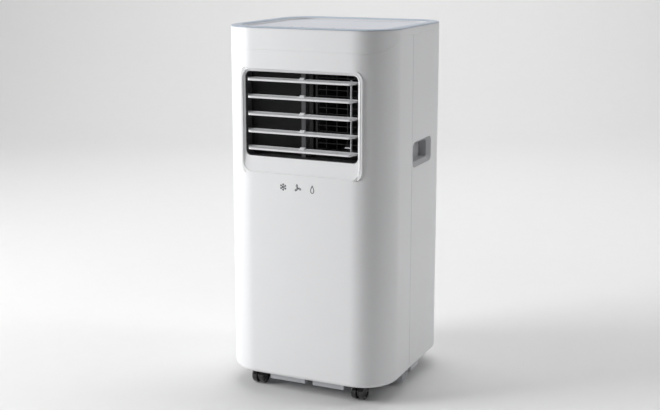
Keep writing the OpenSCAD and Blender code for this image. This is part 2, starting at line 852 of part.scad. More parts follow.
module hot_scroll() {
    r = hot_wheel_r + scroll_gap;
    y1 = hot_y0 + hot_w;
    x0 = -collar_r - 4;
    x1 = collar_r + 4;
    z1 = partition_z - 1;
    box_z = collar_z - collar_r - 4;
    neck_x = 4;
    color([0.5, 0.52, 0.54]) difference() {
        union() {
            rod_y(hot_y0, y1, hot_x, hot_z, r);
            box([x0, hot_y0, box_z], [x1, y1, z1]);
            box([neck_x, hot_y0, hot_z + 40], [x1, y1, box_z + 1]);
            rod_y(y1 - 1, y_back - 13, 0, collar_z, collar_r + 2);
        }
        rod_y(hot_y0 + duct_t, y1 - duct_t, hot_x, hot_z, r - duct_t);
        box([x0 + duct_t, hot_y0 + duct_t, box_z + duct_t], [x1 - duct_t, y1 - duct_t, z1 - duct_t]);
        box([neck_x + duct_t, hot_y0 + duct_t, hot_z], [x1 - duct_t, y1 - duct_t, collar_z]);
        rod_y(y1 - 10, y_back, 0, collar_z, collar_r - 1.5);
        rod_y(hot_y0 + hot_w / 2, y1 + 1, hot_x, hot_z, hot_wheel_r - 26);
        rod_y(hot_y0 - 1, hot_y0 + hot_w / 2, hot_x, hot_z, 12);
    }
}

module hot_wheel() {
    blower(hot_x, hot_z, hot_wheel_r, hot_y0 + 5, hot_w - 11, hot_y0 - 20);
}

module hot_motor() {
    fan_motor(hot_x, hot_z, hot_y0, 32);
}

module compressor() {
    z0 = deck_top + foot_h;
    dome = 26;
    color([0.12, 0.12, 0.13]) translate([compressor_at[0], compressor_at[1], 0]) {
        difference() {
            translate([0, 0, z0]) cylinder(h = 3, r = compressor_r + 3);
            for (a = [60:120:300])
                rotate(a) translate([compressor_r - 2, 0, z0 - 1]) cylinder(h = 5, r = 3.2);
        }
        translate([0, 0, z0 + 2.9]) cylinder(h = compressor_h - dome - 2.9, r = compressor_r - 8);
        translate([0, 0, z0 + compressor_h - dome]) scale(1)
            rotate_extrude() intersection() {
                translate([0, -40]) circle(compressor_r - 8 + 17);
                square([compressor_r - 8, dome]);
            }
    }
}

module rubber_feet() {
    color([0.07, 0.07, 0.07]) translate([compressor_at[0], compressor_at[1], 0])
        for (a = [60:120:300]) rotate(a) translate([compressor_r - 2, 0, deck_top]) {
            cylinder(h = foot_h, r = 7);
            cylinder(h = foot_h + 6, r = 3);
        }
}

module accumulator() {
    color([0.14, 0.14, 0.15]) translate([accumulator_at[0], accumulator_at[1], deck_top + 50]) {
        cylinder(h = 110, r = 17);
        translate([0, 0, 109]) cylinder(h = 12, r1 = 17, r2 = 5);
        translate([0, 0, -11]) cylinder(h = 12, r1 = 5, r2 = 17);
    }
}

// The sealed circuit's pipes: discharge, suction, and the liquid line with its filter drier.
module refrigerant_tubes() {
    coil_y = y_back - coil_gap - 14;
    top_z = deck_top + foot_h + compressor_h;
    side = 117.5;
    side_run = half_w - 22;
    acc_top = deck_top + 171;
    color([0.72, 0.42, 0.26]) {
        tube([
            [compressor_at[0], compressor_at[1], top_z - 2],
            [compressor_at[0], compressor_at[1], top_z + 14],
            [-side_run, compressor_at[1], top_z + 14],
            [-side_run, coil_y, top_z + 14],
            [-side_run, coil_y, lower_z1 - 10],
            [-side, coil_y, lower_z1 - 10]], 4);
        tube([
            [accumulator_at[0], accumulator_at[1], acc_top],
            [accumulator_at[0], accumulator_at[1], top_z + 40],
            [-side_run - 4, accumulator_at[1], top_z + 40],
            [-side_run - 4, coil_y, top_z + 40],
            [-side_run - 4, coil_y, upper_z0 + 10],
            [-side, coil_y, upper_z0 + 10]], 5);
        tube([
            [side, coil_y, lower_z0 + 10],
            [riser_x, coil_y, lower_z0 + 10],
            [riser_x, coil_y, upper_z0 + 10],
            [side, coil_y, upper_z0 + 10]], 3.2);
        translate([riser_x, coil_y, collar_z - 40]) cylinder(h = 60, r = 9);
    }
}

module slinger_wheel() {
    y0 = sump_y0 + 12;
    color([0.3, 0.32, 0.35]) {
        rod_y(y0, y0 + 4, slinger_at[0], slinger_at[1], 18);
        for (a = [0:45:315]) translate([slinger_at[0], 0, slinger_at[1]]) rotate([0, a, 0])
            box([14, y0, -1.2], [24, y0 + 4, 1.2]);
        rod_y(y0 - 12, y0 + 1, slinger_at[0], slinger_at[1], 2);
    }
}

module slinger_motor() {
    y1 = sump_y0 - 1;
    color([0.6, 0.6, 0.62]) difference() {
        union() {
            rod_y(y1 - 30, y1, slinger_at[0], slinger_at[1], 12);
            box([slinger_at[0] - 16, y1 - 4, deck_top], [slinger_at[0] + 16, y1 - 1, slinger_at[1] + 4]);
        }
        rod_y(y1 - 12, y1 + 1, slinger_at[0], slinger_at[1], 2 + run_fit);
    }
}

module control_box() {
    y0 = y_front + 18;
    color([0.7, 0.71, 0.72]) difference() {
        box([24, y0, 214], [116, y0 + 48, 352]);
        box([26, y0 + 2, 216], [114, y0 + 50, 350]);
    }
    color([0.1, 0.35, 0.2]) box([30, y0 + 2, 222], [110, y0 + 8, 344]);
}

module run_capacitor() {
    color([0.78, 0.79, 0.8]) translate([70, y_front + 42, 214]) rotate([180, 0, 0]) {
        cylinder(h = 62, r = 18);
        translate([0, 0, 61]) cylinder(h = 5, r = 8);
    }
}

// ---- Drawing ----

front_panel();
rear_housing();
top_cover();
top_rim();
control_tray();
control_panel();
display_window();
control_board();
outlet_frame();
air_duct();
air_guide();
centre_post();
guard_grid();
louver_link();
louver_motor();
outlet_surround();
for (i = [1:louvers])
    louver(i);
handle(-1);  // handle_left
handle(1);  // handle_right
base_pan();
base_skids();
for (i = [1:4])
    caster_fork(i);
for (i = [1:4])
    caster_wheels(i);
upper_grille();
upper_filter();
lower_grille();
exhaust_collar();
cord_gland();
spigot(drain_at[0]);  // upper_spigot
spigot(drain_at[1]);  // lower_spigot
plug(drain_at[0]);  // upper_plug
plug(drain_at[1]);  // lower_plug
partition();
evaporator();
cold_scroll();
cold_wheel();
cold_motor();
condenser();
hot_scroll();
hot_wheel();
hot_motor();
compressor();
rubber_feet();
accumulator();
refrigerant_tubes();
slinger_wheel();
slinger_motor();
control_box();
run_capacitor();
screws();
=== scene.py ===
"""The looks of a portable air conditioner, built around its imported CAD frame.

The front is towards -Y, +Z is up, the floor is z = 0 and every length is in metres.
"""
import json
import math
import bmesh
import bpy
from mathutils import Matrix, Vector


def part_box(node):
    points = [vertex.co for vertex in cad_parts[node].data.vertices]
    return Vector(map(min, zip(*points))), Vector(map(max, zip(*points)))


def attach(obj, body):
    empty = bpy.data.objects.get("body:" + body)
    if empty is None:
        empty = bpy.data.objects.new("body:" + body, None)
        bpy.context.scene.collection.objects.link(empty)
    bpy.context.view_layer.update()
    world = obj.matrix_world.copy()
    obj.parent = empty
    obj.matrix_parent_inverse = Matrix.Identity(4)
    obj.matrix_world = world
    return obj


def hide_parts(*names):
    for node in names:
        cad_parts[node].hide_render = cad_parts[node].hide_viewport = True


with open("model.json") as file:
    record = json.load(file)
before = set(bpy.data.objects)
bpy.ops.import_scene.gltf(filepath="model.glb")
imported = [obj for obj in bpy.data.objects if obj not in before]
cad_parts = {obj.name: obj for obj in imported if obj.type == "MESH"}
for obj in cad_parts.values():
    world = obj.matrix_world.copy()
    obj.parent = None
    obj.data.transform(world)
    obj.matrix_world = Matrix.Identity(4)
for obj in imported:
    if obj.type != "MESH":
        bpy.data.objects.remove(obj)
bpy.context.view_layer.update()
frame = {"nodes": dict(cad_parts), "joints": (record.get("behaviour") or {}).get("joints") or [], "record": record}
MM = 0.001

# ---- Sizes taken from the frame ----

front_low, front_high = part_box("front_panel")
rear_low, rear_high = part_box("rear_housing")
rim_low, rim_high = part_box("top_rim")
cover_low, cover_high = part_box("top_cover")
panel_low, panel_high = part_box("control_panel")
opening_low, opening_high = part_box("outlet_frame")

HALF_W = rear_high.x
Y_FRONT = front_low.y
Y_BACK = rear_high.y
EDGE_Z = front_low.z
RIM_Z = rim_low.z
TOP_Z = rim_high.z
SEAM_Y = rear_low.y
SEAM_GAP = rear_low.y - front_high.y
SEAM_FRONT_Z = cover_low.z - SEAM_GAP
SEAM_SIDE_Z = rear_high.z
PANEL_Z = panel_high.z
BEZEL_Y = opening_low.y
FRAME_WALL = 3.5 * MM
OUTLET_HALF_W = opening_high.x - FRAME_WALL
OUTLET_Z0 = opening_low.z + FRAME_WALL
OUTLET_Z1 = opening_high.z - FRAME_WALL

# Shape of the cabinet's outline from above.
FRONT_R = 68.5 * MM
REAR_R = 59 * MM
BOW_R = 5.25
FX = HALF_W - FRONT_R
FY = Y_FRONT + BOW_R - math.sqrt((BOW_R - FRONT_R) ** 2 - FX ** 2)
BOW_TILT = math.degrees(math.asin(FX / (BOW_R - FRONT_R)))
RX = HALF_W - REAR_R
RY = Y_BACK - REAR_R

WALL = 2.6 * MM
EDGE_R = 8 * MM
RIM_W = 20 * MM
TRAY_WALL = 1.8 * MM
OUTLET_R = 9 * MM
BEZEL = 5 * MM
APRON = 29 * MM
MOUTH_LIP = 1 * MM
MOUTH_STEP = 1.3 * MM
SHELL_REACH = 5 * MM
SHELL_DEPTH = 9 * MM
FIT_GAP = 0.25 * MM
COLLAR_SLEEVE = 3.2 * MM
GLAND_SLEEVE = 4.1 * MM
SPIGOT_SLEEVE = 0.1 * MM
INK_FILM = 0.04 * MM

# The signs on the front and on the panel, and the clip in the middle of each louvre blade.
FRONT_SIGN_Z = 389 * MM
FRONT_SIGN_R = 6.6 * MM
FRONT_SIGN_LINE = 1.5 * MM
PANEL_SIGN_R = 4.4 * MM
PANEL_SIGN_LINE = 0.9 * MM
DIGIT_LINE = 0.6 * MM
CLIP_R = 4.4 * MM
CLIP_REACH = 10 * MM
CLIP_HALF_T = 1.9 * MM
CLIP_X0 = -5.5 * MM
CLIP_X1 = 4 * MM


# ---- Outline, seam and mesh helpers ----

def ease(t):
    u = min(1.0, max(0.0, t))
    return u * u * (3 - 2 * u)


def seam_z(y):
    """Height of the S-shaped seam under the top cover."""
    rise = ease((y - Y_FRONT - 5 * MM) / (75 * MM))
    return SEAM_FRONT_Z + (SEAM_SIDE_Z - SEAM_FRONT_Z) * rise


def bow_y(x):
    return Y_FRONT + BOW_R - math.sqrt(BOW_R ** 2 - x * x)


def arc(centre, radius, start, end, steps):
    """Points on an arc with their outward directions, angles in degrees."""
    points = []
    for k in range(steps + 1):
        a = math.radians(start + (end - start) * k / steps)
        d = Vector((math.cos(a), math.sin(a)))
        points.append((Vector(centre) + d * radius, d))
    return points


def run(start, end, outward, step=6 * MM):
    """Points on a straight stretch with their outward direction."""
    start, end = Vector(start), Vector(end)
    count = max(1, math.ceil((end - start).length / step))
    return [(start.lerp(end, k / count), Vector(outward)) for k in range(count + 1)]


def mirrored(points):
    return [(Vector((-p.x, p.y)), Vector((-d.x, d.y))) for p, d in reversed(points)]


def front_half(y_end):
    bow = arc((0, Y_FRONT + BOW_R), BOW_R, -90, BOW_TILT - 90, 8)
    corner = arc((FX, FY), FRONT_R, BOW_TILT - 90, 0, 24)
    return bow + corner[1:] + run((HALF_W, FY), (HALF_W, y_end), (1, 0))[1:]


def rear_half(y_start):
    side = run((HALF_W, y_start), (HALF_W, RY), (1, 0))
    corner = arc((RX, RY), REAR_R, 0, 90, 20)
    return side + corner[1:] + run((RX, Y_BACK), (0, Y_BACK), (0, 1), 12 * MM)[1:]


def front_path(y_end):
    right = front_half(y_end)
    return mirrored(right)[:-1] + right


def rear_path(y_start):
    right = rear_half(y_start)
    return right[:-1] + mirrored(right)


def whole_path():
    right = front_half(SEAM_Y) + rear_half(SEAM_Y)[1:]
    return right[:-1] + mirrored(right)[:-1]


def new_piece(name, bm, material, body="cabinet"):
    """A smooth-shaded piece from a bmesh, riding on its body."""
    bmesh.ops.recalc_face_normals(bm, faces=bm.faces)
    mesh = bpy.data.meshes.new(name)
    bm.to_mesh(mesh)
    bm.free()
    mesh.polygons.foreach_set("use_smooth", [True] * len(mesh.polygons))
    mesh.materials.append(material)
    piece = bpy.data.objects.new(name, mesh)
    bpy.context.scene.collection.objects.link(piece)
    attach(piece, body)
    return piece


def sweep(path, profile, closed):
    """A solid whose profile of (inset, height, follows the seam) runs along the path."""
    bm = bmesh.new()
    rings = []
    for point, outward in path:
        lift = seam_z(point.y)
        ring = []
        for inset, height, follows in profile:
            p = point - outward * inset
            ring.append(bm.verts.new((p.x, p.y, height + (lift if follows else 0))))
        rings.append(ring)
    pairs = list(zip(rings, rings[1:]))
    if closed:
        pairs.append((rings[-1], rings[0]))
    count = len(profile)
    for a, b in pairs:
        for k in range(count):
            m = (k + 1) % count
            bm.faces.new((a[k], a[m], b[m], b[k]))
    if not closed:
        bm.faces.new(rings[0])
        bm.faces.new(rings[-1])
    return bm


def rounded_rect(x0, x1, z0, z1, r, steps=8):
    left, right, low, high = x0 + r, x1 - r, z0 + r, z1 - r
    corners = [((right, low), -90), ((right, high), 0), ((left, high), 90), ((left, low), 180)]
    points = []
    for centre, start in corners:
        points += [p for p, _ in arc(centre, r, start, start + 90, steps)]
    return points


def circle(x, z, r, steps=64):
    return [p for p, _ in arc((x, z), r, 0, 360, steps)][:-1]


def loft(contours):
    """A closed solid through contours of equal length, each a list of 3-D points."""
    bm = bmesh.new()
    rings = [[bm.verts.new(p) for p in contour] for contour in contours]
    count = len(rings[0])
    for a, b in zip(rings, rings[1:]):
        for k in range(count):
            m = (k + 1) % count
            bm.faces.new((a[k], a[m], b[m], b[k]))
    bm.faces.new(rings[0])
    bm.faces.new(rings[-1])
    return bm


def upright(contour, y):
    return [(p.x, y, p.y) for p in contour]


def sideways(contour, x):
    return [(x, p.x, p.y) for p in contour]


def tool_object(bm):
    bmesh.ops.recalc_face_normals(bm, faces=bm.faces)
    mesh = bpy.data.meshes.new("tool")
    bm.to_mesh(mesh)
    bm.free()
    tool = bpy.data.objects.new("tool", mesh)
    bpy.context.scene.collection.objects.link(tool)
    return tool


def carve(piece, bm, operation="DIFFERENCE"):
    """Cuts a bmesh's solid out of a piece, or joins it on, for good."""
    tool = tool_object(bm)
    step = piece.modifiers.new("carve", "BOOLEAN")
    step.operation = operation
    step.solver = "EXACT"
    step.object = tool
    graph = bpy.context.evaluated_depsgraph_get()
    mesh = bpy.data.meshes.new_from_object(piece.evaluated_get(graph))
    piece.modifiers.clear()
    piece.data = mesh
    bpy.data.objects.remove(tool)


def soften(piece, width, angle=12, segments=2):
    """Rounds a piece's sharp edges by modifiers, as a mould or a deburring wheel does."""
    bevel = piece.modifiers.new("rounding", "BEVEL")
    bevel.width = width
    bevel.segments = segments
    bevel.limit_method = "ANGLE"
    bevel.angle_limit = math.radians(angle)
    bevel.use_clamp_overlap = False
    bevel.miter_outer = "MITER_ARC"
    normals = piece.modifiers.new("normals", "WEIGHTED_NORMAL")
    normals.mode = "FACE_AREA"
    normals.weight = 80
    return piece


# ---- Materials ----

def finish(name, colour, roughness, grain=0.35 * MM, depth=0.01 * MM, spread=0.05,
           tint=0.03, metal=0.0, coat=0.0, fleck=0.0):
    """A moulded or painted finish with fine grain, uneven gloss and slight colour variation."""
    material = bpy.data.materials.new(name)
    material.use_nodes = True
    tree = material.node_tree
    nodes, links = tree.nodes, tree.links
    shader = nodes["Principled BSDF"]
    shader.inputs["Metallic"].default_value = metal
    shader.inputs["Coat Weight"].default_value = coat
    shader.inputs["Coat Roughness"].default_value = 0.08
    place = nodes.new("ShaderNodeTexCoord")

    def noise(scale, detail):
        node = nodes.new("ShaderNodeTexNoise")
        node.inputs["Scale"].default_value = scale
        node.inputs["Detail"].default_value = detail
        links.new(place.outputs["Object"], node.inputs["Vector"])
        return node.outputs["Fac"]

    cloud = noise(9.0, 4.0)
    gloss = nodes.new("ShaderNodeMapRange")
    gloss.inputs["From Min"].default_value = 0.3
    gloss.inputs["From Max"].default_value = 0.7
    gloss.inputs["To Min"].default_value = roughness - spread
    gloss.inputs["To Max"].default_value = roughness + spread
    links.new(cloud, gloss.inputs["Value"])
    links.new(gloss.outputs["Result"], shader.inputs["Roughness"])

    blend = nodes.new("ShaderNodeMix")
    blend.data_type = "RGBA"
    blend.inputs["A"].default_value = (*colour, 1)
    darker = [c * (1 - tint - fleck) for c in colour]
    blend.inputs["B"].default_value = (*darker, 1)
    links.new(noise(700.0 if fleck else 25.0, 2.0), blend.inputs["Factor"])
    links.new(blend.outputs["Result"], shader.inputs["Base Color"])

    bump = nodes.new("ShaderNodeBump")
    bump.inputs["Strength"].default_value = 0.5
    bump.inputs["Distance"].default_value = depth
    links.new(noise(1 / grain, 3.0), bump.inputs["Height"])
    links.new(bump.outputs["Normal"], shader.inputs["Normal"])
    return material


def weave(name, colour, gap_colour, pitch):
    """A fine square mesh cloth, such as an air filter's."""
    material = finish(name, colour, 0.8)
    tree = material.node_tree
    nodes, links = tree.nodes, tree.links
    shader = nodes["Principled BSDF"]
    place = nodes.new("ShaderNodeTexCoord")
    lines = []
    for direction in ("X", "Z"):
        wave = nodes.new("ShaderNodeTexWave")
        wave.bands_direction = direction
        wave.inputs["Scale"].default_value = 2 * math.pi / pitch / 20
        links.new(place.outputs["Object"], wave.inputs["Vector"])
        lines.append(wave.outputs["Fac"])
    cell = nodes.new("ShaderNodeMath")
    cell.operation = "MAXIMUM"
    links.new(lines[0], cell.inputs[0])
    links.new(lines[1], cell.inputs[1])
    mix = nodes.new("ShaderNodeMix")
    mix.data_type = "RGBA"
    mix.inputs["A"].default_value = (*gap_colour, 1)
    mix.inputs["B"].default_value = (*colour, 1)
    links.new(cell.outputs["Value"], mix.inputs["Factor"])
    links.new(mix.outputs["Result"], shader.inputs["Base Color"])
    return material


def brushed(name, colour, roughness, direction):
    """Drawn or brushed metal, with its grain stretched along one direction."""
    material = finish(name, colour, roughness, metal=1.0)
    tree = material.node_tree
    nodes, links = tree.nodes, tree.links
    stretch = nodes.new("ShaderNodeMapping")
    stretch.inputs["Scale"].default_value = direction
    place = nodes.new("ShaderNodeTexCoord")
    links.new(place.outputs["Object"], stretch.inputs["Vector"])
    grain = nodes.new("ShaderNodeTexNoise")
    grain.inputs["Scale"].default_value = 300.0
    links.new(stretch.outputs["Vector"], grain.inputs["Vector"])
    bump = nodes["Bump"]
    links.new(grain.outputs["Fac"], bump.inputs["Height"])
    return material


SLOTS = {
    "shell": finish("shell_white", (0.84, 0.845, 0.855), 0.36, tint=0.02),
    "rim": finish("rim_blue_grey", (0.4, 0.45, 0.53), 0.34, tint=0.03),
    "panel": finish("panel_glass", (0.56, 0.58, 0.63), 0.32, depth=0.0, tint=0.01, spread=0.01),
    "display": finish("display_tint", (0.66, 0.68, 0.73), 0.14, depth=0.0, coat=0.5, tint=0.01, spread=0.01),
    "blade": finish("blade_white", (0.84, 0.845, 0.86), 0.38),
    "frame_grey": finish("outlet_grey", (0.09, 0.09, 0.095), 0.45),
    "duct_black": finish("duct_black", (0.008, 0.008, 0.009), 0.55),
    "guard": finish("guard_black", (0.018, 0.018, 0.02), 0.4),
    "grille_white": finish("grille_white", (0.78, 0.785, 0.8), 0.42),
    "filter": weave("filter_mesh", (0.09, 0.1, 0.12), (0.015, 0.016, 0.02), 1.6 * MM),
    "base": finish("base_grey", (0.42, 0.43, 0.45), 0.55, depth=0.03 * MM),
    "skid": finish("skid_light_grey", (0.62, 0.63, 0.66), 0.5),
    "caster": finish("caster_black", (0.012, 0.012, 0.013), 0.2, coat=0.6, spread=0.04),
    "rubber": finish("rubber_black", (0.022, 0.022, 0.023), 0.7, depth=0.03 * MM),
    "motor": finish("motor_grey", (0.3, 0.31, 0.33), 0.4, depth=0.02 * MM),
    "steel": brushed("zinc_steel", (0.62, 0.63, 0.65), 0.32, (1, 12, 1)),
    "compressor": finish("compressor_black", (0.018, 0.018, 0.02), 0.34, depth=0.03 * MM),
    "coil": brushed("fin_aluminium", (0.72, 0.74, 0.76), 0.36, (1, 1, 10)),
    "copper": brushed("copper_pipe", (0.72, 0.38, 0.22), 0.3, (6, 6, 6)),
    "fan": finish("fan_grey", (0.07, 0.08, 0.09), 0.5),
    "scroll": finish("scroll_dark", (0.05, 0.05, 0.055), 0.65, depth=0.04 * MM),
    "hot_duct": brushed("galvanised_sheet", (0.5, 0.52, 0.54), 0.42, (3, 3, 3)),
    "board": finish("board_green", (0.02, 0.14, 0.05), 0.4, fleck=0.3),
}
# The hand pockets' grey is painted shade: it darkens the recesses where the lamps would otherwise put the shade.
POCKET_PAINTED_SHADE = finish("pocket_painted_shade", (0.5, 0.505, 0.52), 0.42)
PRINT_GREY = finish("print_dark_grey", (0.075, 0.078, 0.09), 0.5)
PRINT_LIGHT = finish("print_blue_grey", (0.16, 0.18, 0.23), 0.45)


def dress_nodes():
    """Every CAD node takes the finish of its material slot, but the hand pockets get a darker grey, which is
    painted shade for their recesses.
    """
    for part in frame["record"]["subparts"]:
        node = frame["nodes"].get(part["node"])
        if node is None:
            continue
        mesh = node.data
        mesh.materials.clear()
        pocket = part["node"].startswith("handle_")
        # The pockets take the painted-shade grey in place of their slot's finish.
        mesh.materials.append(POCKET_PAINTED_SHADE if pocket else SLOTS[part["material_slot"]])
        mesh.polygons.foreach_set("material_index", [0] * len(mesh.polygons))


def round_node(name, width, angle=28, segments=2):
    """Welds a CAD node's split corners and rounds its edges, by modifiers only."""
    node = frame["nodes"][name]
    mesh = node.data
    if "custom_normal" in mesh.attributes:
        mesh.attributes.remove(mesh.attributes["custom_normal"])
    mesh.polygons.foreach_set("use_smooth", [True] * len(mesh.polygons))
    weld = node.modifiers.new("weld", "WELD")
    weld.merge_threshold = 0.002 * MM
    soften(node, width, angle, segments)


# ---- Shells ----

def curl_profile():
    """A shell's section: the outer face, rolled under at the bottom, and the inner face."""
    steps = 12
    outer, inner = [], []
    for k in range(steps + 1):
        a = math.radians(90 * k / steps)
        outer.append((EDGE_R * (1 - math.sin(a)), EDGE_Z + EDGE_R * (1 - math.cos(a)), False))
        r = EDGE_R - WALL
        inner.append((EDGE_R - r * math.sin(a), EDGE_Z + EDGE_R - r * math.cos(a), False))
    top = [(0, 0, True), (WALL, 0, True)]
    return outer + top + inner[::-1]


def outlet_cutter():
    """The dished mouth of the outlet: a crisp step all round, then a slope in to the throat."""
    def mouth(grow):
        side = OUTLET_HALF_W + BEZEL + grow
        corner = OUTLET_R + BEZEL + 4 * MM + grow
        return rounded_rect(-side, side, OUTLET_Z0 - APRON - grow, OUTLET_Z1 + BEZEL + grow, corner)

    outer = mouth(0.6 * MM)
    inner = mouth(-0.4 * MM)
    throat = rounded_rect(-OUTLET_HALF_W, OUTLET_HALF_W, OUTLET_Z0, OUTLET_Z1, OUTLET_R)
    rings = [upright(outer, Y_FRONT - MOUTH_LIP),
             [(p.x, bow_y(p.x) + MOUTH_STEP, p.y) for p in inner],
             upright(throat, BEZEL_Y), upright(throat, BEZEL_Y + 8 * MM)]
    return loft(rings)


def front_shell():
    shell = new_piece("front_shell", sweep(front_path(SEAM_Y - SEAM_GAP), curl_profile(), False),
                      SLOTS["shell"])
    margin = BEZEL + 4 * MM
    seat = rounded_rect(-OUTLET_HALF_W - margin, OUTLET_HALF_W + margin,
                        OUTLET_Z0 - APRON - 4 * MM, OUTLET_Z1 + margin, OUTLET_R + margin)
    seat_front = [(p.x, bow_y(p.x) + 1.2 * MM, p.y) for p in seat]
    carve(shell, loft([seat_front, upright(seat, BEZEL_Y + 2 * MM)]), "UNION")
    carve(shell, outlet_cutter())
    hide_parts("front_panel", "outlet_surround")
    return soften(shell, 0.7 * MM, 8, 3)


def rear_shell():
    shell = new_piece("rear_shell", sweep(rear_path(SEAM_Y), curl_profile(), False),
                      SLOTS["shell"])
    for name in ("handle_left", "handle_right"):
        low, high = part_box(name)
        hole = rounded_rect(low.y - FIT_GAP, high.y + FIT_GAP, low.z - FIT_GAP, high.z + FIT_GAP,
                            10 * MM + FIT_GAP)
        carve(shell, loft([sideways(hole, low.x - SHELL_REACH), sideways(hole, high.x + SHELL_REACH)]))
    for name in ("upper_grille", "lower_grille"):
        low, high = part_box(name)
        hole = rounded_rect(low.x - FIT_GAP, high.x + FIT_GAP, low.z - FIT_GAP, high.z + FIT_GAP,
                            6 * MM + FIT_GAP)
        carve(shell, loft([upright(hole, Y_BACK - SHELL_DEPTH), upright(hole, Y_BACK + SHELL_REACH)]))
    mounts = {m["name"]: m for m in frame["record"]["mounts"]}
    for name, grow in (("exhaust_outlet", COLLAR_SLEEVE), ("upper_drain", SPIGOT_SLEEVE),
                       ("lower_drain", SPIGOT_SLEEVE), ("cord_inlet", GLAND_SLEEVE)):
        x, _, z = mounts[name]["pos_m"]
        hole = circle(x, z, mounts[name]["dims"]["r_mm"] * MM + grow)
        carve(shell, loft([upright(hole, Y_BACK - SHELL_DEPTH), upright(hole, Y_BACK + SHELL_REACH)]))
    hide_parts("rear_housing")
    return soften(shell, 0.6 * MM, 12, 3)


def top_cover():
    edge = 0.7 * MM
    gap = SEAM_GAP
    plate = 5 * MM
    profile = [
        (edge, gap, True), (edge * 0.3, gap + edge * 0.3, True), (0, gap + edge, True),
        (0, RIM_Z - edge, False), (edge * 0.3, RIM_Z - edge * 0.3, False), (edge, RIM_Z - 0.1 * MM, False),
        (RIM_W, RIM_Z - 0.1 * MM, False), (RIM_W, RIM_Z - plate, False), (WALL, RIM_Z - plate, False),
        (WALL, gap, True)]
    cover = new_piece("cover_shell", sweep(whole_path(), profile, True), SLOTS["shell"])
    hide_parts("top_cover")
    return soften(cover, 0.15 * MM, 40, 1)


def top_rim():
    """The blue-grey ring: rolled over outside, flat on top and sloping down inside."""
    rise = TOP_Z - RIM_Z
    foot = 0.35 * MM
    profile = [(foot, RIM_Z, False)]
    steps = 8
    for k in range(steps + 1):
        a = math.radians(90 * k / steps)
        profile.append((6.5 * MM * (1 - math.cos(a)), RIM_Z + foot + (rise - foot) * math.sin(a), False))
    for t in range(1, 6):
        slope = ease(t / 5)
        profile.append((16.4 * MM + 3.4 * MM * t / 5, TOP_Z - 2.4 * MM * slope, False))
    profile.append((RIM_W, RIM_Z, False))
    rim = new_piece("rim_ring", sweep(whole_path(), profile, True), SLOTS["rim"])
    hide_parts("top_rim")
    return soften(rim, 0.12 * MM, 40, 1)


def touch_panel():
    """The glossy plate that lies in the tray, with a softly rounded edge."""
    inset = RIM_W + TRAY_WALL + 0.15 * MM
    edge = 0.5 * MM
    rings = []
    corner = edge * 0.3
    steps = ((0, panel_low.z), (0, PANEL_Z - edge), (corner, PANEL_Z - corner), (edge, PANEL_Z))
    for extra, z in steps:
        rings.append([(p.x - d.x * (inset + extra), p.y - d.y * (inset + extra), z) for p, d in whole_path()])
    panel = new_piece("touch_panel", loft(rings), SLOTS["panel"])
    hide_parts("control_panel", "display_window")
    return soften(panel, 0.1 * MM, 40, 1)


def seam_tongue():
    """The inner lip that the top cover closes over, seen as a pale line in the seam."""
    inset = 0.55 * MM
    low = -1.2 * MM
    high = 1.6 * MM
    profile = [(inset, low, True), (inset, high, True), (WALL, high, True), (WALL, low, True)]
    new_piece("seam_tongue", sweep(whole_path(), profile, True), SLOTS["shell"])


# ---- Printed pictograms ----

def ribbon(points, width, closed=False):
    """A flat band along a line of 2-D points, as a list of quads."""
    points = [Vector(p) for p in points]
    count = len(points)
    edges = []
    for k, p in enumerate(points):
        before = points[k - 1] if closed or k else p
        after = points[(k + 1) % count] if closed or k < count - 1 else p
        along = (after - before).normalized()
        side = Vector((-along.y, along.x)) * width / 2
        edges.append((p + side, p - side))
    last = count if closed else count - 1
    quads = []
    for k in range(last):
        a, b = edges[k], edges[(k + 1) % count]
        quads.append([a[0], a[1], b[1], b[0]])
    return quads


def ring_line(cx, cy, r, start=0, end=360, steps=20):
    return [(cx + r * math.cos(math.radians(start + (end - start) * k / steps)),
             cy + r * math.sin(math.radians(start + (end - start) * k / steps))) for k in range(steps + 1)]


def turned(points, angle, cx=0.0, cy=0.0):
    c, s = math.cos(math.radians(angle)), math.sin(math.radians(angle))
    return [(cx + x * c - y * s, cy + x * s + y * c) for x, y in points]


def snowflake(cx, cy, r, w):
    quads = []
    for arm in range(6):
        spoke = [(0.08 * r, 0), (r, 0)]
        quads += ribbon(turned(spoke, 60 * arm + 30, cx, cy), w)
        for bend in (1, -1):
            twig = [(0.55 * r, 0), (0.85 * r, bend * 0.27 * r)]
            quads += ribbon(turned(twig, 60 * arm + 30, cx, cy), w * 0.85)
    return quads


def fan_sign(cx, cy, r, w):
    quads = ribbon(ring_line(cx, cy, 0.16 * r), w)
    for blade in range(3):
        petal = []
        for k in range(17):
            a = 2 * math.pi * k / 16
            petal.append((0.62 * r + 0.36 * r * math.cos(a), 0.2 * r + 0.2 * r * math.sin(a)))
        quads += ribbon(turned(petal[:-1], 120 * blade + 90, cx, cy), w, True)
    return quads


def drop_sign(cx, cy, r, w):
    line = []
    for k in range(24):
        a = 2 * math.pi * k / 24
        pinch = 0.62 * r * math.sin(a) * (math.sin(a / 2) ** 1.1)
        line.append((cx + pinch, cy + r * math.cos(a)))
    return ribbon(line, w, True)


def power_sign(cx, cy, r, w):
    bar = [(cx, cy + 0.2 * r), (cx, cy + 1.1 * r)]
    return ribbon(ring_line(cx, cy, r * 0.85, 120, 420), w) + ribbon(bar, w)


def step_sign(cx, cy, r, w, upwards):
    tilt = 1 if upwards else -1
    foot = cy - 0.4 * r * tilt
    return ribbon([(cx - r, foot), (cx, cy + 0.5 * r * tilt), (cx + r, foot)], w)


def clock_sign(cx, cy, r, w):
    hands = [(cx, cy + 0.6 * r), (cx, cy), (cx + 0.45 * r, cy)]
    return ribbon(ring_line(cx, cy, r)[:-1], w, True) + ribbon(hands, w)


